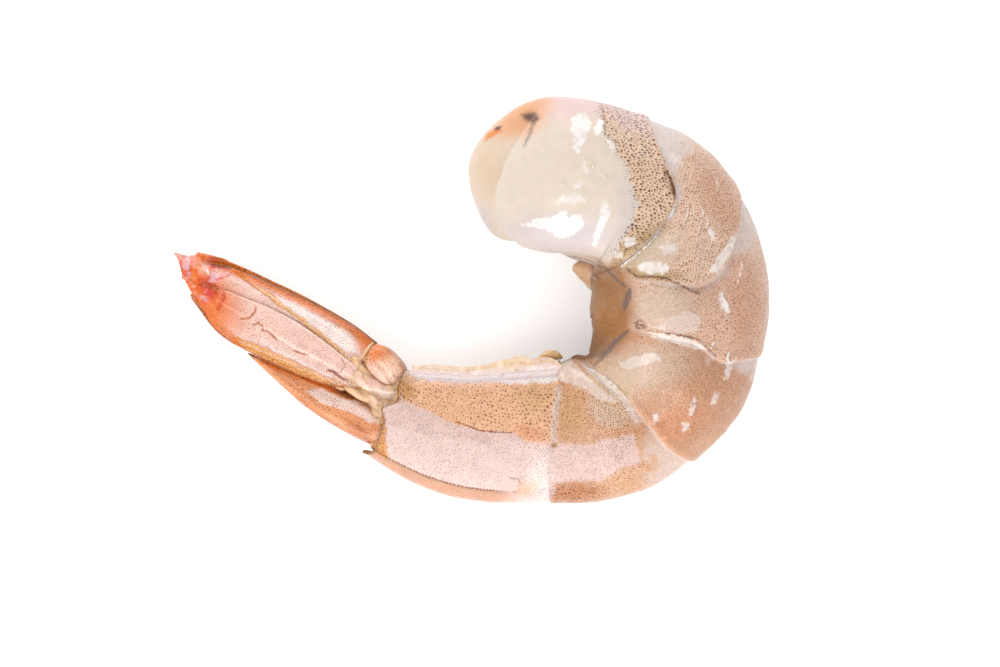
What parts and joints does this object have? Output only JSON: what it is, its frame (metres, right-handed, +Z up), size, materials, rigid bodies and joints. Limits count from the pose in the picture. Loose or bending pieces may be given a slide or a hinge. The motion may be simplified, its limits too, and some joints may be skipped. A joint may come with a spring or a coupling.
{
  "type": "raw prawn tail",
  "caption": "Raw prawn tail, peeled to its last segment and lying curled on its side, with a closed tail fan and speckled skin.",
  "frame": {"origin": "centre of the bounding box's bottom face, on the surface the prawn lies on", "axes": "+Z up through the upper flank, +X away from the tail fan along the longest extent, +Y towards the cut end"},
  "size_m": [0.0747, 0.0507, 0.0195],
  "materials": {
    "flesh": "peeled raw muscle, wet, translucent cream with brown speckled skin",
    "shell": "wet thin shell, pale pink-tan with fine dark dots",
    "telson": "wet thin shell, orange-brown with dark dots",
    "blade_base": "wet thin shell, orange-pink",
    "outer_blade": "wet thin translucent shell, pale pink to deep orange-red tip",
    "inner_blade": "wet thin translucent shell, pale pink with a yellow fringe and a red tip"
  },
  "bodies": {
    "root": {"flesh": "flesh", "sixth_shell": "shell", "telson": "telson", "near_base": "blade_base", "near_inner_blade": "inner_blade", "near_outer_blade": "outer_blade", "far_base": "blade_base", "far_inner_blade": "inner_blade", "far_outer_blade": "outer_blade"}
  },
  "joints": []
}
